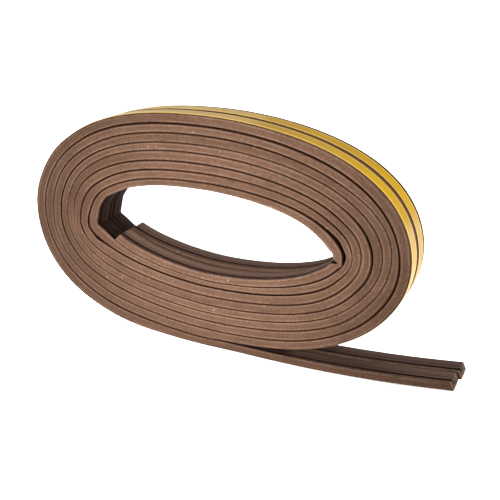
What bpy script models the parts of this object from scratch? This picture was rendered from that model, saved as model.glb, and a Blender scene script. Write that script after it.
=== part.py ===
# Self-adhesive weatherstrip: a pair of brown foam strips with paper release liners, wound as one
# flattened coil that stands on its edge, with the free end running out along the floor.
# Metres, +Z up. The coil's axis is along Y, its front end face looks to -Y, the tail points to +X.
import math

import bpy
import numpy as np

mm = 0.001

# One strip of the pair: a narrow sealing ridge, a groove and a wide sealing band on a flat base
strip_width = 9.0 * mm
strip_height = 3.0 * mm
ridge_width = 1.5 * mm
groove_width = 1.1 * mm
groove_depth = 1.3 * mm
side_slant = 0.25 * mm
pair_gap = 0.4 * mm

# Release liner on the adhesive side of each strip, which is the outer side of every turn
liner_width = 8.2 * mm
liner_thickness = 0.2 * mm

# Clearance between a strip and its liner, and between a liner and the next turn
layer_gap = 0.3 * mm

# Bore: the eye-shaped outline that the first turn starts from. X from the bore's middle, Z from
# its right tip. Fullness is the power of each quarter's superellipse: 2 is an ellipse
bore_length = 103.4 * mm
bore_crest_x = -3.8 * mm
bore_trough_x = 0.8 * mm
left_tip_rise = -0.4 * mm
crest_above_right_tip = 16.5 * mm
trough_below_right_tip = 15.1 * mm
fullness_bottom_right = 2.1
fullness_top_right = 1.88
fullness_top_left = 2.4
fullness_bottom_left = 1.7

# Winding: the inner end lies at the lower left, and the turns are loosest round the left bend
full_turns = 8
inner_end_x = -44.5 * mm
looseness = 0.165
loose_bend = math.radians(210)
loose_spread = math.radians(56)

# Tail: the outermost turn leaves the coil at its lowest point, lies flat, then curls up a little
tail_flat_run = 25.0 * mm
tail_curl_run = 76.0 * mm
tail_curl_radius = 575.0 * mm
tail_stagger = 1.0 * mm

# How finely the curves are cut: the largest bend between two stations, and how far the curve may
# bulge from the chord between them, which stays under the clearance between layers
station_bend = math.radians(14)
station_bulge = 0.8 * layer_gap
outline_samples = 720

pitch = strip_height + liner_thickness + 2 * layer_gap

strip_colour = (0.105, 0.062, 0.043, 1.0)
liner_colour = (0.62, 0.40, 0.075, 1.0)


def remove_everything():
    """Empty the scene."""
    for item in list(bpy.data.objects):
        bpy.data.objects.remove(item, do_unlink=True)


def quarter(centre_x, centre_z, reach_x, reach_z, fullness, first_angle):
    """A quarter of a superellipse, walked by the angle of its outward normal."""
    angle = first_angle + np.linspace(0, math.pi / 2, outline_samples, endpoint=False)
    share_x = (reach_x * np.abs(np.cos(angle))) ** (1 / (fullness - 1))
    share_z = (reach_z * np.abs(np.sin(angle))) ** (1 / (fullness - 1))
    size = (share_x ** fullness + share_z ** fullness) ** (1 / fullness)
    x = centre_x + np.sign(np.cos(angle)) * reach_x * share_x / size
    z = centre_z + np.sign(np.sin(angle)) * reach_z * share_z / size
    return np.array([x, z, angle])


def bore_outline():
    """X, Z and normal angle round the bore, from its trough to the right and over the top."""
    below_left = left_tip_rise + trough_below_right_tip
    above_left = crest_above_right_tip - left_tip_rise
    return np.hstack([
        quarter(bore_trough_x, 0, bore_length / 2 - bore_trough_x, trough_below_right_tip,
                fullness_bottom_right, -math.pi / 2),
        quarter(bore_crest_x, 0, bore_length / 2 - bore_crest_x, crest_above_right_tip,
                fullness_top_right, 0),
        quarter(bore_crest_x, left_tip_rise, bore_length / 2 + bore_crest_x, above_left,
                fullness_top_left, math.pi / 2),
        quarter(bore_trough_x, left_tip_rise, bore_length / 2 + bore_trough_x, below_left,
                fullness_bottom_left, math.pi),
    ])


def turn_spacing(angle):
    """Pitch of the turns by normal angle: a little air between them round the loose bend."""
    away = (angle - loose_bend + math.pi) % (2 * math.pi) - math.pi
    return pitch * (1 + looseness * np.exp(-(away / loose_spread) ** 2))


def wound_turns():
    """Points and normal angles of the whole winding's inner face, out to its lowest point."""
    x, z, angle = bore_outline()
    lap = len(x)
    last_quarter = x[3 * outline_samples:]
    start = 3 * outline_samples + int(np.argmin(np.abs(last_quarter - inner_end_x)))
    count = full_turns * lap + (lap - start) + 1
    station = start + np.arange(count)
    point = station % lap
    creep = np.arange(count) / lap
    outward = creep * turn_spacing(angle[point])
    wound_x = x[point] + outward * np.cos(angle[point])
    wound_z = z[point] + outward * np.sin(angle[point])
    return wound_x, wound_z, angle[point]


def thinned(x, z, angle):
    """The few stations that keep every bend and bulge within the chosen limits."""
    chosen = [0]
    for i in range(1, len(x) - 1):
        last = chosen[-1]
        bend = (angle[i + 1] - angle[last] + math.pi) % (2 * math.pi) - math.pi
        chord = math.hypot(x[i + 1] - x[last], z[i + 1] - z[last])
        if bend > station_bend or chord * bend / 8 > station_bulge:
            chosen.append(i)
    chosen.append(len(x) - 1)
    return x[chosen], z[chosen], angle[chosen]


def tail_stations(x, z, extra):
    """The free tail: flat along the floor, then an arc that curls up."""
    flat = np.linspace(0, tail_flat_run, 2)[1:]
    turned = np.linspace(0, (tail_curl_run + extra) / tail_curl_radius, 7)[1:]
    tail_x = np.concatenate([x + flat, x + tail_flat_run + tail_curl_radius * np.sin(turned)])
    tail_z = np.concatenate([z + 0 * flat, z + tail_curl_radius * (1 - np.cos(turned))])
    tail_angle = np.concatenate([0 * flat, turned]) - math.pi / 2
    return tail_x, tail_z, tail_angle


def sealing_line(extra):
    """The line of the sealing face from the inner end to the tail's end, with the floor at Z 0
    and X 0 in the middle of the overall length."""
    x, z, angle = thinned(*wound_turns())
    underside = strip_height + layer_gap + liner_thickness
    overall_left = np.min(x + underside * np.cos(angle))
    overall_right = np.max(tail_stations(x[-1], z[-1], tail_stagger)[0])
    middle = (overall_left + overall_right) / 2
    tail_x, tail_z, _ = tail_stations(x[-1], z[-1], extra)
    line_x = np.concatenate([x, tail_x]) - middle
    line_z = np.concatenate([z, tail_z]) - z[-1] + underside
    return line_x, line_z


def section_curve(name, corners):
    """A closed outline to carry along a path, with its corners as Y and the way out from the bore."""
    curve = bpy.data.curves.new(name, "CURVE")
    curve.dimensions = "2D"
    line = curve.splines.new("POLY")
    line.points.add(len(corners) - 1)
    for point, (y, outward) in zip(line.points, reversed(corners)):
        point.co = (outward, -y, 0, 1)
    line.use_cyclic_u = True
    guide = bpy.data.objects.new(name, curve)
    guide.hide_render = True
    guide.display_type = "WIRE"
    guide_collection.objects.link(guide)
    return guide


def strip_section(middle_y):
    """Corners of a strip, with its ridged sealing face at 0 and its adhesive base outward."""
    near = middle_y - strip_width / 2
    far = middle_y + strip_width / 2
    groove = near + ridge_width + groove_width / 2
    return [
        (near, strip_height),
        (near + side_slant, 0),
        (near + ridge_width, 0),
        (groove, groove_depth),
        (near + ridge_width + groove_width * 1.5, 0),
        (far - side_slant, 0),
        (far, strip_height),
    ]


def liner_section(middle_y):
    """Corners of a liner, one clearance outside the strip's adhesive base."""
    inner = strip_height + layer_gap
    near = middle_y - liner_width / 2
    far = middle_y + liner_width / 2
    return [
        (near, inner + liner_thickness),
        (near, inner),
        (far, inner),
        (far, inner + liner_thickness),
    ]


def finish(name, colour, roughness):
    """A plain Principled material."""
    material = bpy.data.materials.new(name)
    material.use_nodes = True
    shader = material.node_tree.nodes["Principled BSDF"]
    shader.inputs["Base Color"].default_value = colour
    shader.inputs["Roughness"].default_value = roughness
    shader.inputs["Metallic"].default_value = 0.0
    material.diffuse_color = colour
    return material


def wound_piece(name, line, corners, material):
    """One section carried along the winding as a closed solid."""
    x, z = line
    curve = bpy.data.curves.new(name, "CURVE")
    curve.dimensions = "2D"
    curve.bevel_mode = "OBJECT"
    curve.bevel_object = section_curve(name + "_section", corners)
    curve.use_fill_caps = True
    curve.resolution_u = 1
    spine = curve.splines.new("POLY")
    spine.points.add(len(x) - 1)
    for point, px, pz in zip(spine.points, x, z):
        point.co = (px, pz, 0, 1)
    curve.materials.append(material)
    piece = bpy.data.objects.new(name, curve)
    piece.rotation_euler = (math.pi / 2, 0, 0)
    part_collection.objects.link(piece)
    return piece


remove_everything()
part_collection = bpy.data.collections.new("weatherstrip_coil")
guide_collection = bpy.data.collections.new("section_guides")
bpy.context.scene.collection.children.link(part_collection)
bpy.context.scene.collection.children.link(guide_collection)

foam = finish("brown_foam_rubber", strip_colour, 0.85)
paper = finish("yellow_release_paper", liner_colour, 0.45)
strip_offset = (strip_width + pair_gap) / 2
for side, middle_y, extra in (("front", -strip_offset, 0), ("back", strip_offset, tail_stagger)):
    line = sealing_line(extra)
    wound_piece(side + "_strip", line, strip_section(middle_y), foam)
    wound_piece(side + "_liner", line, liner_section(middle_y), paper)
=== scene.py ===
import math

import bpy
import numpy as np
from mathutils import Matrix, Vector


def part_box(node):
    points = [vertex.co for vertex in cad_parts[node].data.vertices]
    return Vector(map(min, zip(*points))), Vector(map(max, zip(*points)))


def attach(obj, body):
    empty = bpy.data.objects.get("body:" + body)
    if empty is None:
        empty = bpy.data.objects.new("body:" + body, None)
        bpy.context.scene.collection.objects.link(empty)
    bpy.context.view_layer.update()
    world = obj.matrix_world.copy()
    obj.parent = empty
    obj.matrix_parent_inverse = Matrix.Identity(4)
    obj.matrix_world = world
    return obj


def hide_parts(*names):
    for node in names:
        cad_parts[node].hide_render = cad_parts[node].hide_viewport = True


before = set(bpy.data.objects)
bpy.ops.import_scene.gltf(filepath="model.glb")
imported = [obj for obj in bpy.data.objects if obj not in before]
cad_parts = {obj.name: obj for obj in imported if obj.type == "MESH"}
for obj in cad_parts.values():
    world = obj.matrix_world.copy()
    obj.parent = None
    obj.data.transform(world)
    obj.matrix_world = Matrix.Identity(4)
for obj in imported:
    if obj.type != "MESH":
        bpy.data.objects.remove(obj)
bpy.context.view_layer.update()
mm = 0.001
print("frame loaded, nodes:", sorted(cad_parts))


winding = {
    "boreLength": 103.4 * mm,
    "crestX": -3.8 * mm,
    "troughX": 0.8 * mm,
    "leftTipRise": -0.4 * mm,
    "crestAboveTip": 16.5 * mm,
    "troughBelowTip": 15.1 * mm,
    "fullness": (2.1, 1.88, 2.4, 1.7),   # bottom right, top right, top left, bottom left
    "fullTurns": 8,
    "innerEndX": -44.5 * mm,
    "pitch": 3.8 * mm,
    "floorGap": 3.5 * mm,                # sealing face above the floor where the tail lies
    "flatRun": 25.0 * mm,
    "curlRun": 76.0 * mm,
    "curlRadius": 575.0 * mm,
    "backExtra": 1.0 * mm,               # the back strip is this much longer
    "packedLooseness": 0.165,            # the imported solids' own looseness and where it sits
    "packedSide": 210.0,
    "packedSpread": 56.0,
    "sag": 0.28 * mm,                    # how far the top sinks and the bottom gives under weight
    "tuck": 0.25 * mm,                   # later turns lie this much closer in than the first
    "tuckStart": 0.6,                    # share of the first turn from which sag and tuck grow
    "settle": 45.0 * mm,                 # over this run the last turn settles into the tail
    "tailStep": 0.25 * mm,               # between the points that the tail's line is drawn from
    "samples": 720,                      # along each quarter of a turn
}

# How the hand-wound turns stray from even winding. Seam 0 is the bore's edge, seam 1 lies between
# turns 1 and 2. Sides run from the inner end at 245 degrees: 270 bottom, 360 right, 450 top,
# 540 left, 605 back at the inner end. Each row: first seam, last seam, side, spread, lift in mm
seamLifts = [
    (1, 9, 320, 22, -0.60),
    (1, 9, 422, 28, -1.00),
    (1, 2, 433, 12, 0.45),
    (1, 9, 470, 24, -0.65),
    (1, 9, 575, 52, 2.90),
    (4, 5, 572, 30, -0.80),
    (0, 0, 340, 5, 2.90),
    (0, 0, 397, 24, -1.70),
    (0, 0, 419, 13, -0.75),
    (0, 0, 440, 60, -0.45),
    (0, 0, 467, 9, -0.40),
    (0, 0, 568, 9, 1.70),
    (0, 0, 612, 8, 0.50),
    (1, 1, 267, 15, 1.60),
    (1, 1, 300, 22, 0.25),
    (1, 1, 345, 28, 1.35),
    (1, 1, 412, 28, 0.35),
    (1, 1, 508, 40, -0.50),
    (1, 1, 526, 14, -0.35),
    (1, 1, 602, 18, -1.00),
    (2, 2, 266, 16, -0.50),
    (2, 2, 345, 25, 0.45),
    (2, 2, 486, 12, -0.35),
    (2, 2, 550, 35, 0.45),
    (3, 3, 288, 10, 0.30),
    (3, 3, 409, 12, -0.35),
    (3, 3, 515, 25, 0.50),
    (3, 3, 584, 14, -0.60),
    (4, 4, 292, 20, 0.40),
    (4, 4, 352, 36, 0.65),
    (4, 4, 455, 25, 0.35),
    (5, 5, 310, 18, -0.40),
    (5, 5, 372, 22, 0.65),
    (5, 5, 495, 40, -0.40),
    (6, 6, 325, 25, -0.70),
    (6, 6, 380, 15, 0.45),
    (6, 6, 423, 14, -0.50),
    (6, 6, 483, 18, -0.45),
    (6, 6, 612, 10, 0.80),
    (7, 7, 282, 10, 0.55),
    (7, 7, 385, 36, -0.90),
    (7, 7, 487, 12, -0.35),
    (7, 7, 534, 16, 0.85),
    (7, 7, 606, 20, 1.20),
    (7, 7, 614, 10, 0.70),
]

# The two strips lie apart in the bore: more rows, for each strip alone
stripLifts = {
    "front": [(0, 0, 267, 17, 2.05), (0, 0, 302, 8, -0.25)],
    "back": [(0, 0, 267, 17, 0.45), (0, 0, 335, 20, -0.60)],
}

# Widths of the dark grooves along the seams in mm: first seam, last seam, side, spread, width
seamWidths = [
    (1, 8, 270, 45, 0.08),
    (1, 8, 425, 4000, 0.02),
    (1, 8, 480, 70, 0.02),
    (1, 8, 590, 40, 0.05),
    (1, 1, 330, 48, 0.35),
    (1, 1, 420, 24, 0.25),
    (1, 1, 550, 62, 0.45),
    (2, 2, 262, 30, 0.50),
    (2, 2, 305, 22, 0.15),
    (2, 2, 410, 18, 0.18),
    (2, 2, 490, 50, 0.16),
    (2, 2, 550, 40, 0.35),
    (3, 3, 305, 22, 0.15),
    (3, 3, 425, 20, 0.10),
    (3, 3, 470, 45, 0.08),
    (4, 4, 325, 35, 0.28),
    (4, 4, 380, 22, 0.45),
    (4, 4, 455, 40, 0.04),
    (5, 5, 470, 25, 0.05),
    (5, 5, 515, 28, 0.16),
    (5, 5, 560, 45, 0.60),
    (6, 6, 300, 20, 0.04),
    (6, 6, 440, 18, 0.10),
    (6, 6, 490, 28, 0.09),
    (7, 7, 330, 40, 0.35),
    (7, 7, 400, 35, 0.20),
    (7, 7, 450, 35, 0.28),
    (7, 7, 520, 40, 0.06),
    (7, 7, 585, 34, 0.25),
    (8, 8, 250, 7, 0.30),
]

# Air left open through the whole width between turns, in the same columns
seamGaps = [
    (1, 1, 363, 12, 0.90),
    (1, 1, 396, 20, 0.95),
    (1, 1, 564, 18, 0.45),
    (1, 1, 590, 7, 0.80),
    (2, 2, 566, 9, 0.45),
]

# Foam of the outermost turn, no turn round it: thickness in mm, then swells by side, spread, mm
outerFoam = (3.8, [(400, 48, 1.15), (330, 30, 0.15), (520, 40, 0.60), (585, 48, 1.30)])

# Folds in the first turn where the foam creases instead of bending: side of each crease, and how
# far the stretch that follows is pulled straight
creases = [(469, 0.75), (495, 0.85), (522, 0.85), (568, 0.85), (593, 0.80), (606, 0.0)]


# One quarter of a superellipse walked by its normal angle: each reach is shared out as
# (reach * cosine) to the power 1 / (fullness - 1), then scaled so the powers add up to one
def quarterArc(centre, reach, fullness, firstAngle):
    angle = firstAngle + np.linspace(0, math.pi / 2, winding["samples"], endpoint=False)
    shareX = (reach[0] * np.abs(np.cos(angle))) ** (1 / (fullness - 1))
    shareZ = (reach[1] * np.abs(np.sin(angle))) ** (1 / (fullness - 1))
    size = (shareX ** fullness + shareZ ** fullness) ** (1 / fullness)
    x = centre[0] + np.sign(np.cos(angle)) * reach[0] * shareX / size
    z = centre[1] + np.sign(np.sin(angle)) * reach[1] * shareZ / size
    return np.array([x, z, angle])


# The bore's outline, four quarters from the trough round to the right
def boreOutline():
    w = winding
    half, crest, trough, rise = w["boreLength"] / 2, w["crestX"], w["troughX"], w["leftTipRise"]
    above, below, full = w["crestAboveTip"], w["troughBelowTip"], w["fullness"]
    return np.hstack([
        quarterArc((trough, 0), (half - trough, below), full[0], -math.pi / 2),
        quarterArc((crest, 0), (half - crest, above), full[1], 0),
        quarterArc((crest, rise), (half + crest, above - rise), full[2], math.pi / 2),
        quarterArc((trough, rise), (half + trough, rise + below), full[3], math.pi),
    ])


# A bell: the height times e to the minus square of the distance over the spread
def bell(value, centre, spread, height):
    return height * np.exp(-((value - centre) / spread) ** 2)


# Sum of one bell for each seam that a row names, read along the wound angle in degrees
def seamField(rows, wound):
    total = np.zeros_like(wound)
    for first, last, side, spread, height in rows:
        for seam in range(first, last + 1):
            total += bell(wound, side + 360 * seam, spread, height)
    return total


# Smooth step from 0 to 1: three t squared less two t cubed
def ease(value, start, end):
    t = np.clip((value - start) / (end - start), 0, 1)
    return t * t * (3 - 2 * t)


# Running mean with a bell-shaped window, its ends held by straight continuation
def softened(values, width):
    reach = int(3 * width)
    window = np.exp(-0.5 * (np.arange(-reach, reach + 1) / width) ** 2)
    before = 2 * values[0] - values[reach:0:-1]
    after = 2 * values[-1] - values[-2:-reach - 2:-1]
    return np.convolve(np.concatenate([before, values, after]), window / window.sum(), "valid")


# The sealing line: bore outline plus, along its normal, creep times pitch plus the seam lifts; then
# the flat tail and its arc. Each point keeps the bore's normal, and thickness is the room along
# it to the next turn: the distance between the two lines less the open air
def sealingLine(label):
    w = winding
    boreX, boreZ, boreAngle = boreOutline()
    lap = len(boreX)
    lastQuarter = boreX[3 * w["samples"]:]
    start = 3 * w["samples"] + int(np.argmin(np.abs(lastQuarter - w["innerEndX"])))
    count = w["fullTurns"] * lap + (lap - start) + 1
    inner = count - lap
    point = (start + np.arange(count)) % lap
    angle = boreAngle[point]
    rough = np.degrees(boreAngle[start]) + 360 * np.arange(count) / lap
    wound = np.degrees(angle) + 360 * np.round((rough - np.degrees(angle)) / 360)
    creep = np.arange(count) / lap
    cosine, sine = np.cos(angle), np.sin(angle)

    groove = seamField(seamWidths, wound) * mm
    air = seamField(seamGaps, wound) * mm
    lifts = seamField(seamLifts + stripLifts[label], wound) * mm
    later = ease(creep, w["tuckStart"], 1)
    out = (creep * w["pitch"] + lifts - w["tuck"] * later
           + air / 2 - groove / 2 - w["sag"] * sine * later)
    x = boreX[point] + out * cosine
    z = boreZ[point] + out * sine

    # creased stretches slide along their normals towards the chord between the creases
    for (sideA, straight), (sideB, _) in zip(creases[:-1], creases[1:]):
        a, b = np.searchsorted(wound, [sideA, sideB])
        chordX, chordZ = x[b] - x[a], z[b] - z[a]
        reach = (chordZ * (x[a] - x[a:b]) - chordX * (z[a] - z[a:b])) / (
            chordZ * cosine[a:b] - chordX * sine[a:b])
        x[a:b] += straight * reach * cosine[a:b]
        z[a:b] += straight * reach * sine[a:b]

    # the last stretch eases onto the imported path, which the tail continues
    away = (np.degrees(angle) - w["packedSide"] + 180) % 360 - 180
    packedOut = creep * w["pitch"] * (1 + bell(away, 0, w["packedSpread"], w["packedLooseness"]))
    length = np.cumsum(np.hypot(np.diff(x, prepend=x[0]), np.diff(z, prepend=z[0])))
    settle = ease(length, length[-1] - w["settle"], length[-1])
    x += settle * (boreX[point] + packedOut * cosine - x)
    z += settle * (boreZ[point] + packedOut * sine - z)

    thickness, swells = outerFoam
    around = wound - (w["fullTurns"] - 1) * 360
    foam = (thickness + sum(bell(around, side, spread, more) for side, spread, more in swells)) * mm
    foam[:inner] = ((x[lap:] - x[:inner]) * cosine[:inner] + (z[lap:] - z[:inner]) * sine[:inner]
                    - air[lap:])

    step = w["tailStep"]
    curlRun = w["curlRun"] + (label == "back") * w["backExtra"]
    flat = np.arange(step, w["flatRun"], step)
    turned = np.arange(0, curlRun, step) / w["curlRadius"]
    tailX = np.concatenate([x[-1] + flat, x[-1] + w["flatRun"] + w["curlRadius"] * np.sin(turned)])
    tailZ = np.concatenate([z[-1] + 0 * flat, z[-1] + w["curlRadius"] * (1 - np.cos(turned))])
    tailAngle = np.concatenate([0 * flat, turned]) - math.pi / 2
    packedLeft = np.min(boreX[point] + (packedOut + w["floorGap"]) * cosine)
    return {
        "x": np.concatenate([x, tailX]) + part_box("front_liner")[0].x - packedLeft,
        "z": np.concatenate([z, tailZ]) + w["floorGap"] - z[-1],
        "cosine": np.concatenate([cosine, np.cos(tailAngle)]),
        "sine": np.concatenate([sine, np.sin(tailAngle)]),
        "thickness": np.concatenate([foam + settle * (strip["tailThickness"] - foam),
                                     np.full(len(tailX), strip["tailThickness"])]),
        "groove": np.concatenate([groove, np.zeros(len(tailX))]),
        "nextGroove": np.concatenate([groove[lap:], np.zeros(lap + len(tailX))]),
        "cover": np.concatenate([(np.arange(count) < inner) * 1.0, np.zeros(len(tailX))]),
        "wound": np.concatenate([wound, wound[-1] + 0.001 * np.arange(len(tailX))]),
    }


strip = {
    "width": 9.0 * mm,
    "tailThickness": 3.23 * mm,
    "ridge": 1.5 * mm,
    "groove": 1.1 * mm,
    "grooveDepth": 1.3 * mm,
    "slant": 0.25 * mm,
    "nickReach": 0.30 * mm,      # the fine nick along the middle: half its width, and its depth
    "nickDepth": 0.22 * mm,
    "crown": 0.14 * mm,          # how far the wide band rises in its middle
    "edgeRound": 0.04 * mm,
    "sideRound": 1.0 * mm,
    "rimBand": 0.45 * mm,        # moulded skin reaches this far in from the cut sides
    "baseRim": 0.30 * mm,        # bare border of the base beside each cut side
    "pairGap": 0.4 * mm,
    "bulge": 0.05 * mm,          # how far the squeezed sides swell
    "squeeze": 0.23 * mm,        # where turns press on each other the sealing face spreads as much
    "linerBed": 0.24 * mm,       # foam gives way under the liner where turns press on it
    "linerWidth": 6.0 * mm,
    "linerShift": -1.05 * mm,    # liners lie nearer to each strip's front border
    "linerThickness": 0.18 * mm,
    "linerLift": 0.02 * mm,      # clear of the foam
    "linerCurl": 0.04 * mm,
    "bedSlope": 0.05 * mm,       # width of the step down into the liner's bed
    "drift": 0.06 * mm,          # how far the edges wander across
    "swell": 0.02 * mm,          # how far the outermost turn's base swells and sinks
    "stations": 2000,
    "lineStep": 0.1 * mm,        # between the even points that the stations are picked from
    "bendLength": 4 * mm,        # one radian of bend counts as this much length
    "softness": {"x": 5, "z": 5, "thickness": 8, "groove": 30, "nextGroove": 30, "cover": 60},
}

# The knife cuts at both ends: how far each slants over the strip's thickness, and the run over
# which the slant fades out
cutEnds = {"start": -1.0 * mm, "end": 0.9 * mm, "fade": 5 * mm}


# A line ready to carry sections: stations in equal steps of length plus bend, so that they lie
# closer together where it bends; every value is read there after a running mean, whose width in
# even points is its softness
def carrier(label):
    line = sealingLine(label)
    length = np.concatenate([[0], np.cumsum(np.hypot(np.diff(line["x"]), np.diff(line["z"])))])
    even = np.arange(0, length[-1], strip["lineStep"])
    values = {}
    for key, column in line.items():
        values[key] = np.interp(even, length, column)
        if key in strip["softness"]:
            values[key] = softened(values[key], strip["softness"][key])
    heading = np.unwrap(np.arctan2(np.gradient(values["z"]), np.gradient(values["x"])))
    bend = np.concatenate([[0], np.cumsum(np.abs(np.diff(heading)))])
    cost = even + strip["bendLength"] * bend
    stations = np.interp(np.linspace(0, cost[-1], strip["stations"]), cost, even)
    carried = {key: np.interp(stations, even, value) for key, value in values.items()}
    return {"along": stations, **carried}


# A closed outline with its corners rounded: each corner becomes the curve
# (1-t)^2 A + 2t(1-t) corner + t^2 B, where A and B lie its reach away along the two edges.
# A corner without reach stays one point
def roundedOutline(corners, reaches):
    corners = np.array(corners, float)
    t = np.array([[0.0], [0.5], [1.0]])
    parts = []
    neighbours = zip(np.roll(corners, 1, 0), corners, np.roll(corners, -1, 0), reaches)
    for before, corner, after, reach in neighbours:
        if reach == 0:
            parts.append(corner[None])
            continue
        a = corner + (before - corner) * min(reach / np.hypot(*(before - corner)[:2]), 0.45)
        b = corner + (after - corner) * min(reach / np.hypot(*(after - corner)[:2]), 0.45)
        parts.append((1 - t) ** 2 * a + 2 * t * (1 - t) * corner + t ** 2 * b)
    return np.concatenate(parts)


# Corners of the foam strip, read from the near base corner over the sealing face. Columns: across,
# outward, share of the thickness added to outward, share of the liner bed taken from it, share of
# the seam's groove added to it, skin, crevice (shade where turns meet), rounding
def stripCorners():
    s = strip
    half, deep, nick = s["width"] / 2, s["grooveDepth"], s["nickReach"]
    top, side = half - s["slant"], half + s["bulge"]
    edge, belly = s["edgeRound"], s["sideRound"]
    foot, groove = -half + s["ridge"], s["groove"]
    shift, slope = s["linerShift"], s["bedSlope"]
    bed = s["linerWidth"] / 2
    return [
        (-half, 0, 1, 0, 0, 0, 0, edge),
        (-side, 0, 0.5, 0, 0.5, 0, 0, belly),
        (-top, 0, 0, 0, 1, 0.1, 0, edge),
        (-half + s["rimBand"], 0, 0, 0, 1, 0.4, 1, 0),
        (foot - 0.35 * mm, 0, 0, 0, 0.5, 0.5, 1, 0),
        (foot, 0, 0, 0, 0, 0.6, 0.4, 0.15 * mm),
        (foot + 0.30 * groove, deep, 0, 0, 0, 1, 2, 0.1 * mm),
        (foot + 0.75 * groove, deep, 0, 0, 0, 1, 2, 0.1 * mm),
        (foot + 1.32 * groove, 0.15 * mm, 0, 0, 0, 1, 2, 0),
        (foot + 1.40 * groove, 0, 0, 0, 0, 1, 0.3, 0.1 * mm),
        (-nick, 0, 0, 0, 0, 1, 0.3, 0),
        (0, s["nickDepth"], 0, 0, 0, 1, 1.6, 0),
        (nick, 0, 0, 0, 0, 1, 0.3, 0),
        (0.52 * half, -s["crown"], 0, 0, 0, 1, 0, 0.9 * mm),
        (half - 1.0 * mm, 0, 0, 0, 0, 1, 0.5, 0),
        (half - s["rimBand"], 0, 0, 0, 1, 1, 1, 0),
        (top, 0, 0, 0, 1, 0.1, 0, edge),
        (side, 0, 0.5, 0, 0.5, 0, 0, belly),
        (half, 0, 1, 0, 0, 0, 0, edge),
        (half - s["baseRim"], 0, 1, 0, 0, 0, 1, 0),
        (shift + bed + slope, 0, 1, 0, 0, 0, 1, 0),
        (shift + bed, 0, 1, 1, 0, 0, 1, 0),
        (shift, 0, 1, 1, 0, 0, 1, 0),
        (shift - bed, 0, 1, 1, 0, 0, 1, 0),
        (shift - bed - slope, 0, 1, 0, 0, 0, 1, 0),
        (-half + s["baseRim"], 0, 1, 0, 0, 0, 1, 0),
    ]


# Vertices of a section carried along the stations: position plus normal times outward, with the
# shift along the line; then faces between neighbouring rings and a cap at each end. Its UV map holds
# the length along the strip and the length round its section
def sweep(name, line, across, outward, shift, material):
    stations, ring = outward.shape
    cosine, sine = line["cosine"][:, None], line["sine"][:, None]
    points = np.stack([
        line["x"][:, None] + cosine * outward - sine * shift,
        np.broadcast_to(across, outward.shape),
        line["z"][:, None] + sine * outward + cosine * shift,
    ], -1).reshape(-1, 3)
    i, j = np.meshgrid(np.arange(stations - 1), np.arange(ring), indexing="ij")
    k = (j + 1) % ring
    here, ahead = i * ring, (i + 1) * ring
    quads = np.stack([here + j, ahead + j, ahead + k, here + k], -1).reshape(-1, 4)
    caps = [np.arange(ring).tolist(), ((stations - 1) * ring + np.arange(ring)[::-1]).tolist()]
    mesh = bpy.data.meshes.new(name)
    mesh.from_pydata(points.tolist(), [], quads.tolist() + caps)
    sideways = np.diff(across[0], append=across[0, :1])
    around = np.hypot(sideways, np.diff(outward[0], append=outward[0, :1]))
    u = line["along"][:, None] + shift
    v = np.broadcast_to(np.cumsum(around) - around, outward.shape)
    loopVertex = np.zeros(len(mesh.loops), np.int64)
    mesh.loops.foreach_get("vertex_index", loopVertex)
    uv = np.stack([u.ravel()[loopVertex], v.ravel()[loopVertex]], -1)
    mesh.uv_layers.new(name="strip").data.foreach_set("uv", uv.astype(np.float32).ravel())
    mesh.shade_smooth()
    mesh.set_sharp_from_angle(angle=math.radians(50))
    mesh.materials.append(material)
    piece = bpy.data.objects.new(name, mesh)
    bpy.context.scene.collection.objects.link(piece)
    return piece


# Puts one number per vertex on a piece, for its material to read
def storeAttribute(piece, name, values):
    attribute = piece.data.attributes.new(name, "FLOAT", "POINT")
    attribute.data.foreach_set("value", np.ascontiguousarray(values, np.float32).ravel())


# Smooth random wander: a few sine waves of random length and phase added up
def wander(values, rng, waves, shortest, longest, size):
    length = rng.uniform(shortest, longest, waves)[:, None]
    phase = rng.uniform(0, 2 * math.pi, waves)[:, None]
    return size * np.sin(2 * math.pi * values[None, :] / length + phase).sum(0) / math.sqrt(waves)


# Shift along the line that slants the cut ends: depth below the middle, as a share of the
# thickness, times each end's slant, fading out away from that end
def cutShift(line, outward):
    fromStart = ease(line["along"], 0, cutEnds["fade"])[:, None]
    fromEnd = ease(line["along"][-1] - line["along"], 0, cutEnds["fade"])[:, None]
    slant = (1 - fromStart) * cutEnds["start"] + (1 - fromEnd) * cutEnds["end"]
    return slant * (outward / strip["tailThickness"] - 0.5)


# Shade painted on the foam where little light gets in, from 0 to 1. Angles are wound angles in
# degrees, and runs along the tail count from its tip
foamShade = {
    "fullGroove": 0.25 * mm,                      # a groove as wide as this is fully dark
    "widest": 1.8,                                # and no groove counts for more than this
    "boreEnd": (604, 608),                        # where the second turn's sealing face begins
    "boreLeft": (478, 500),                       # where the inside of the bore turns from the light
    "boreBack": 0.55,                             # the back strip's share before that
    "openGroove": 0.6,                            # grooves of the face in the bore and on the tail
    "tailFade": 24 * mm,                          # the coil's shade gives way to the tail's over this
    "tailWedge": (45 * mm, 78 * mm),              # where the tail runs in under the coil
    "tailFace": {"front": 0.62, "back": 0.72},
    "tailSide": 0.3,
    "tailBase": 0.5,
    "openBase": 0.7,                              # cut side where it meets the outermost turn's base
    "baseMargin": {"front": 0.3, "back": 0.8},    # beside the liner of the outermost turn
    "gapMargin": 0.5,                             # the same, on the side towards the other strip
    "baseEdge": 0.2 * mm,                         # the base keeps its corner's look this far in
}


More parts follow.
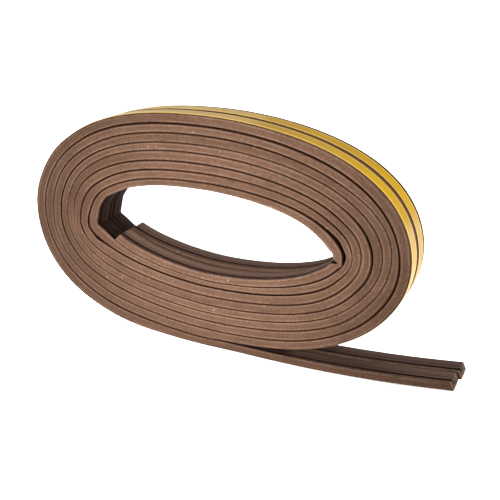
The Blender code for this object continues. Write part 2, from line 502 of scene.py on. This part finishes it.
# For each station: how much painted shade the seams under and over it get, as the groove's width over
# that of a fully dark one, the run to the tail's tip, and a share that is 1 on the tail and 0 on the coil
def seamShares(line):
    shade = foamShade
    widths = (line["groove"][:, None], line["nextGroove"][:, None])
    below, above = (np.clip(width / shade["fullGroove"], 0, shade["widest"]) for width in widths)
    fromTip = line["along"][-1] - line["along"][:, None]
    tailRun = winding["flatRun"] + winding["curlRun"]
    return below, above, fromTip, 1 - ease(fromTip, tailRun, tailRun + shade["tailFade"])


# Shade of the sealing face and the cut sides: the crevice column times the seam's share between
# turns, or the largest of the shades of the open grooves, the bore and the tail
def faceShade(line, label, gapSide, skin, crevice):
    shade = foamShade
    wound = line["wound"][:, None]
    below, _, fromTip, onTail = seamShares(line)
    left = ease(wound, *shade["boreLeft"])
    inBore = left + shade["boreBack"] * (label == "back") * (1 - left)
    inBore = inBore * (1 - ease(wound, *shade["boreEnd"]))
    between = (wound > shade["boreEnd"][0]) & (fromTip > winding["flatRun"] + winding["curlRun"])
    dark = np.where(between, crevice * below, np.where(crevice >= 1, shade["openGroove"] * crevice, 0))
    dark = np.maximum(dark, inBore * np.where(gapSide, 1, ease(skin, 0.1, 0.5)))
    wedge = ease(fromTip, *shade["tailWedge"]) * (skin > 0.3)
    face = np.maximum(wedge, shade["tailFace"][label] * ease(skin, 0.55, 0.9))
    return np.maximum(dark, onTail * np.maximum(face, shade["tailSide"]))


# Shade of the base: the crevice column times the seam's share under the next turn, or times the
# margin's share beside the outermost turn's liner
def baseShade(line, label, gapSide, crevice):
    shade = foamShade
    _, above, _, onTail = seamShares(line)
    margin = np.where(gapSide, shade["gapMargin"], shade["baseMargin"][label])
    covered = line["cover"][:, None] > 0.5
    share = np.where(covered, above, np.maximum(margin, shade["tailBase"] * onTail))
    return np.maximum(crevice * share, shade["tailSide"] * onTail)


# Foam: the rounded section at every station, its thickness the room to the next turn. The sealing
# face's borders spread by the squeeze where no groove keeps the turns apart
def foamStrip(name, label, middleY, material, seed):
    rng = np.random.default_rng(seed)
    line = carrier(label)
    rows = np.array(stripCorners())
    outline = roundedOutline(rows[:, :7], rows[:, 7])
    acrossRow, outward, byThickness, byBed, byGroove, skin, crevice = outline.T[:, None, :]
    cover, thickness, groove = (line[key][:, None] for key in ("cover", "thickness", "groove"))
    below, above, _, onTail = seamShares(line)
    betweenTurns = (line["wound"][:, None] > foamShade["boreEnd"][0]) * (1 - onTail)
    faceBorder = (byThickness < 0.3) & (np.abs(acrossRow) > 4 * mm)
    squeezed = np.clip(1 - below, 0, 1) * betweenTurns * faceBorder
    across = acrossRow + np.sign(acrossRow) * strip["squeeze"] * squeezed
    swell = wander(line["along"], rng, 6, 0.02, 0.11, strip["swell"])[:, None] * (1 - cover)
    outward = (outward + byThickness * (thickness + swell) - byBed * strip["linerBed"] * cover
               + byGroove * groove)
    drift = wander(line["along"], rng, 7, 0.03, 0.40, strip["drift"])[:, None]
    piece = sweep(name, line, middleY + across + drift, outward, cutShift(line, outward), material)

    gapSide = acrossRow * middleY < 0
    onFace = faceShade(line, label, gapSide, skin, crevice)
    onBase = baseShade(line, label, gapSide, crevice)
    flatBase = (byThickness > 0.99) & (np.abs(acrossRow) < strip["width"] / 2 - foamShade["baseEdge"])
    seamOver = np.where(cover > 0.5, above, foamShade["openBase"])
    storeAttribute(piece, "skin", skin + 0 * outward)
    # painted shade for the material: crevices, the bore's inside and the tail (crevice), bands along the
    # seams (seam)
    storeAttribute(piece, "crevice", np.where(byThickness > 0.6, onBase, onFace))
    storeAttribute(piece, "depth", np.where(flatBase, 0.5, outward / thickness))
    storeAttribute(piece, "seam", below * (1 - byThickness) + seamOver * byThickness)
    storeAttribute(piece, "turn", line["wound"][:, None] / 360 + 0 * outward)
    return piece


# Painted shade on the liner where the outermost turn starts, low over the tail: wound angles, and how dark
linerShade = {"overTail": (2800, 2840), "share": 0.95}


# Paper: a thin section on the foam's base, its borders curling off a little where it lies free, by
# the curl times the sixth power of the distance from the middle
def paperLiner(name, label, middleY, material, seed):
    rng = np.random.default_rng(seed)
    line = carrier(label)
    share = np.linspace(1, -1, 13)
    across = np.concatenate([share, share[::-1]])[None, :] * strip["linerWidth"] / 2
    up = np.concatenate([0 * share + 1, 0 * share])[None, :] * strip["linerThickness"]
    cover = line["cover"][:, None]
    free = 1 - cover
    curl = np.maximum(wander(line["along"], rng, 8, 0.02, 0.12, strip["linerCurl"])[:, None], 0) * free
    border = np.abs(across) / (strip["linerWidth"] / 2)
    base = line["thickness"][:, None] - strip["linerBed"] * cover
    outward = base + strip["linerLift"] + up + curl * border ** 6
    place = middleY + strip["linerShift"] + across + 0 * outward
    piece = sweep(name, line, place, outward, cutShift(line, outward), material)
    overTail = linerShade["share"] * (1 - ease(line["wound"][:, None], *linerShade["overTail"]))
    storeAttribute(piece, "edge", border + 0 * outward)
    # the cover share, raised by the painted shade low over the tail
    storeAttribute(piece, "cover", np.maximum(cover, overTail) + 0 * outward)
    return piece


# One socket of the material being made. Sums and products of links add Math nodes, and node() adds
# any other node: its type, its settings, which output it gives, and its inputs by name or as i0, i1
class Link:
    tree = None

    def __init__(self, socket):
        self.socket = socket

    @classmethod
    def node(cls, kind, settings=None, output=0, **inputs):
        made = cls.tree.nodes.new(kind)
        for key, value in (settings or {}).items():
            setattr(made, key, value)
        for key, value in inputs.items():
            numbered = key[0] == "i" and key[1:].isdigit()
            socket = made.inputs[int(key[1:]) if numbered else key]
            if isinstance(value, Link):
                cls.tree.links.new(value.socket, socket)
            else:
                socket.default_value = value
        return cls(made.outputs[output])

    def maths(self, operation, other, swap=False):
        first, second = (other, self) if swap else (self, other)
        return Link.node("ShaderNodeMath", {"operation": operation}, i0=first, i1=second)

    def __add__(self, other):
        return self.maths("ADD", other)

    def __radd__(self, other):
        return self.maths("ADD", other, True)

    def __sub__(self, other):
        return self.maths("SUBTRACT", other)

    def __rsub__(self, other):
        return self.maths("SUBTRACT", other, True)

    def __mul__(self, other):
        return self.maths("MULTIPLY", other)

    def __rmul__(self, other):
        return self.maths("MULTIPLY", other, True)

    def absolute(self):
        return Link.node("ShaderNodeMath", {"operation": "ABSOLUTE"}, i0=self)

    # 0 below low, 1 above high, smooth between
    def between(self, low, high):
        return Link.node("ShaderNodeMapRange", {"interpolation_type": "SMOOTHSTEP"},
                         i0=self, i1=low, i2=high, i3=0.0, i4=1.0)


# A colour mix: first times (1 - factor) plus second times factor
def blendColours(factor, first, second):
    return Link.node("ShaderNodeMix", {"data_type": "RGBA"}, 2, i0=factor, i6=first, i7=second)


# Clouds between 0 and 1; the scale is in clouds per metre
def noise(vector, scale, detail, roughness):
    return Link.node("ShaderNodeTexNoise", {}, 0, Vector=vector, Scale=scale, Detail=detail,
                     Roughness=roughness)


# Distance to the nearest of scattered points, for pores
def cells(vector, scale):
    return Link.node("ShaderNodeTexVoronoi", {"feature": "F1"}, 0, Vector=vector, Scale=scale)


# The number that storeAttribute put on the piece under this name
def stored(name):
    return Link.node("ShaderNodeAttribute", {"attribute_name": name}, 2)


def newMaterial(name):
    material = bpy.data.materials.new(name)
    material.use_nodes = True
    Link.tree = material.node_tree
    return material, material.node_tree.nodes["Principled BSDF"]


# Links or sets the shader's own sockets, named with _ for a space
def connect(shader, **sockets):
    for key, value in sockets.items():
        socket = shader.inputs[key.replace("_", " ")]
        if isinstance(value, Link):
            Link.tree.links.new(value.socket, socket)
        else:
            socket.default_value = value


foamLook = {
    "cutFace": (0.068, 0.037, 0.0235, 1),    # sides that the knife cut, and their darker cells
    "cutDark": (0.034, 0.018, 0.0110, 1),
    "rim": (0.098, 0.059, 0.0400, 1),        # painted highlight along the borders of each turn's cut side
    "skin": (0.085, 0.053, 0.038, 1),        # moulded sealing face
    "speckLight": (0.21, 0.15, 0.11, 1),
    # dark pits of the foam, and the painted shade of crevices, seams, the bore's inside and the tail
    "pitAndCreviceShade": (0.006, 0.0020, 0.0010, 1),
    "seamShade": (0.015, 0.0052, 0.0026, 1),
    "cellSize": 2600.0,                      # pattern scales: marks per metre
    "grainSize": 1800.0,
    "blotchSize": 650.0,
    "speckSize": 420.0,
    "mottleSize": 90.0,
    "streakSize": (60.0, 2300.0, 1.0),       # along the strip and round its section
    "toneSize": 3.1,                         # changes of tone per turn
    "blotches": 0.4,                         # how strongly each pattern darkens the cut side
    "mottling": 0.25,
    "tones": 0.35,
    "streaks": 0.6,
    "rimHighlightShare": 0.8,
    "speckShare": 0.45,
    "pitShare": 0.7,
    "skinShare": 0.9,
    "roughness": 0.9,
    "bump": 0.3,
    "bumpDepth": 0.25 * mm,
}


# Cell foam: cut cells and grain, darkened by blotches, streaks and each turn's own tone; then a painted
# highlight along the borders, specks and pits, the skin, the painted shade of the seams, and last the
# painted shade of the crevices
def foamMaterial():
    look = foamLook
    material, shader = newMaterial("brownCellFoam")
    place = Link.node("ShaderNodeTexCoord", {}, 3)
    along = Link.node("ShaderNodeMapping", {}, 0, Vector=Link.node("ShaderNodeTexCoord", {}, 2),
                      Scale=look["streakSize"])
    skin, crevice, depth, turn, seam = map(stored, ("skin", "crevice", "depth", "turn", "seam"))
    pores = cells(place, look["cellSize"])
    grain = noise(place, look["grainSize"], 4.0, 0.65)
    blotch = noise(place, look["blotchSize"], 3.0, 0.7)
    speck = noise(place, look["speckSize"], 1.0, 0.4)
    mottle = noise(place, look["mottleSize"], 4.0, 0.6)
    streak = noise(along, 1.0, 2.0, 0.6)
    tone = Link.node("ShaderNodeTexNoise", {"noise_dimensions": "1D"}, 0, W=turn,
                     Scale=look["toneSize"], Detail=2.0)
    rim = (depth * 2.0 - 1.0).absolute()
    dark = (pores * 0.7 + (grain - 0.5) * 2.2).between(0.0, 0.9)
    shade = ((blotch - 0.45).between(0.0, 0.2) * look["blotches"]
             + (mottle - 0.35).between(0.0, 0.4) * look["mottling"]
             + (tone - 0.4).between(0.0, 0.25) * look["tones"]
             + (streak - 0.42).between(0.0, 0.3) * look["streaks"])
    colour = blendColours(dark, look["cutFace"], look["cutDark"])
    # painted highlight: each cut side turns lighter towards its borders
    colour = blendColours(rim.between(0.3, 0.7) * look["rimHighlightShare"], colour, look["rim"])
    colour = blendColours(shade, colour, look["cutDark"])
    colour = blendColours(speck.between(0.74, 0.8) * look["speckShare"], colour, look["speckLight"])
    colour = blendColours((1 - speck).between(0.78, 0.82) * look["pitShare"], colour, look["pitAndCreviceShade"])
    colour = blendColours(skin * look["skinShare"], colour, look["skin"])
    colour = blendColours(rim.between(0.66, 0.92) * seam, colour, look["seamShade"])
    # painted shade: crevices, seams between turns, the bore's inside and the tail under the coil go dark
    colour = blendColours(crevice.between(0.05, 1.0), colour, look["pitAndCreviceShade"])
    height = grain * 0.6 + pores * 0.4 + mottle * 0.3 + streak * 0.5
    normal = Link.node("ShaderNodeBump", {}, 0, Strength=look["bump"], Distance=look["bumpDepth"],
                       Height=height)
    roughness = look["roughness"] - skin * 0.15 + (grain - 0.5) * 0.2
    connect(shader, Base_Color=colour, Roughness=roughness, Normal=normal, Specular_IOR_Level=0.04)
    return material


linerLook = {
    "paper": (0.150, 0.088, 0.0010, 1),
    "paperDeep": (0.128, 0.070, 0.0008, 1),
    # pale cut edge of the paper, with a painted highlight along its borders
    "paleEdgeAndHighlight": (0.29, 0.19, 0.035, 1),
    "wound": (0.03, 0.018, 0.006, 1),        # painted shade where a turn covers the paper
    "fibreSize": 1300.0,                     # marks per metre
    "cloudSize": 60.0,
    "paleEdgeAndHighlightShare": 0.85,
    "roughness": 0.5,
    "coat": 0.2,
    "coatRoughness": 0.14,
    "bump": 0.15,
    "bumpDepth": 0.1 * mm,
}


# Release paper: two yellows in clouds, fine fibres, paler cut edges with a painted highlight along
# them, painted shade where turns cover it and low over the tail, and a thin gloss coat
def linerMaterial():
    look = linerLook
    material, shader = newMaterial("yellowReleasePaper")
    place = Link.node("ShaderNodeTexCoord", {}, 3)
    edge, cover = map(stored, ("edge", "cover"))
    fibre = noise(place, look["fibreSize"], 5.0, 0.7)
    cloud = noise(place, look["cloudSize"], 3.0, 0.55)
    colour = blendColours(cloud.between(0.3, 0.7), look["paper"], look["paperDeep"])
    colour = blendColours((fibre - 0.5) * 0.2, colour, look["paleEdgeAndHighlight"])
    # paler borders: the paper's pale cut edges plus a painted highlight
    colour = blendColours(edge.between(0.78, 0.93) * look["paleEdgeAndHighlightShare"], colour, look["paleEdgeAndHighlight"])
    # painted shade where turns cover the paper and low over the tail
    colour = blendColours(cover.between(0.3, 0.9), colour, look["wound"])
    normal = Link.node("ShaderNodeBump", {}, 0, Strength=look["bump"], Distance=look["bumpDepth"],
                       Height=fibre)
    connect(shader, Base_Color=colour, Roughness=look["roughness"] + (fibre - 0.5) * 0.2, Normal=normal)
    connect(shader, Coat_Weight=look["coat"], Coat_Roughness=look["coatRoughness"], Specular_IOR_Level=0.03)
    return material


foam = foamMaterial()
paper = linerMaterial()
print("materials made")

offsetY = (strip["width"] + strip["pairGap"]) / 2    # from the pair's middle to each strip's
for label, middleY, seed in (("front", -offsetY, 3), ("back", offsetY, 8)):
    foamPiece = foamStrip("ridged_foam_" + label, label, middleY, foam, seed)
    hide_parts(label + "_strip")
    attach(foamPiece, "root")
    paperPiece = paperLiner("paper_liner_" + label, label, middleY, paper, seed + 1)
    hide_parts(label + "_liner")
    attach(paperPiece, "root")


stage = {
    "floorSize": 12.0,
    "floorColour": (0.93, 0.93, 0.93, 1),
    "azimuth": 0.456,            # camera round the object, radians from the front
    "elevation": 0.364,
    "distance": 310.65 * mm,
    "lookAt": (11.4 * mm, -9.2 * mm, 47.26 * mm),
    "lens": 56.54,
    "world": 0.22,
    "areaLights": [              # name, place, target, size, power, spread of the beam in degrees
        ("near", (-0.015, -0.23, 0.10), (-0.008, 0, 0.036), (0.12, 0.12), 0.405, 58),
        ("backPanel", (-1.2, 1.6, 0.42), (0, 0, 0.08), (1.1, 0.7), 3.3, 180),
        ("rightPanel", (0.85, 0.32, 0.05), (0.08, 0, 0.04), (0.5, 0.4), 46.0, 180),
    ],
    "sun": ("overhead", (-0.15, 0.45, 1.0), 8.0, 60),    # name, direction, strength, softness
}


def addFloor():
    half = stage["floorSize"] / 2
    corners = [(-half, -half, 0), (half, -half, 0), (half, half, 0), (-half, half, 0)]
    mesh = bpy.data.meshes.new("floor")
    mesh.from_pydata(corners, [], [(0, 1, 2, 3)])
    floor = bpy.data.objects.new("floor", mesh)
    bpy.context.scene.collection.objects.link(floor)
    material, shader = newMaterial("paleFloor")
    connect(shader, Base_Color=stage["floorColour"], Roughness=0.9, Specular_IOR_Level=0.1)
    mesh.materials.append(material)


# The camera stands back from its target by the distance, along the direction that the azimuth and
# the elevation give
def addCamera():
    turned, raised = stage["azimuth"], stage["elevation"]
    level = math.cos(raised)
    back = Vector((math.sin(turned) * level, -math.cos(turned) * level, math.sin(raised)))
    camera = bpy.data.objects.new("camera", bpy.data.cameras.new("camera"))
    camera.location = Vector(stage["lookAt"]) + back * stage["distance"]
    camera.rotation_euler = (-back).to_track_quat("-Z", "Y").to_euler()
    camera.data.lens = stage["lens"]
    camera.data.sensor_width = 36
    camera.data.clip_start, camera.data.clip_end = 0.01, 50
    bpy.context.scene.collection.objects.link(camera)
    bpy.context.scene.camera = camera


# A rectangular soft light at a place, turned to face a target
def addLight(name, place, target, size, power, spread):
    light = bpy.data.lights.new(name, "AREA")
    light.shape = "RECTANGLE"
    light.size, light.size_y = size
    light.energy, light.spread = power, math.radians(spread)
    lamp = bpy.data.objects.new(name, light)
    lamp.location = place
    lamp.rotation_euler = (Vector(target) - Vector(place)).to_track_quat("-Z", "Y").to_euler()
    bpy.context.scene.collection.objects.link(lamp)


# Sunlight from a direction: even over the whole floor, softened by its apparent size in degrees
def addSun(name, direction, strength, softness):
    light = bpy.data.lights.new(name, "SUN")
    light.energy, light.angle = strength, math.radians(softness)
    lamp = bpy.data.objects.new(name, light)
    lamp.rotation_euler = Vector(direction).to_track_quat("Z", "Y").to_euler()
    bpy.context.scene.collection.objects.link(lamp)


def addWorld():
    world = bpy.data.worlds.new("studio")
    world.use_nodes = True
    level = stage["world"]
    world.node_tree.nodes["Background"].inputs["Color"].default_value = (level, level, level, 1)
    bpy.context.scene.world = world


addFloor()
addCamera()
for areaLight in stage["areaLights"]:
    addLight(*areaLight)
addSun(*stage["sun"])
addWorld()
bpy.context.scene.view_settings.view_transform = "Standard"
print("stage set")
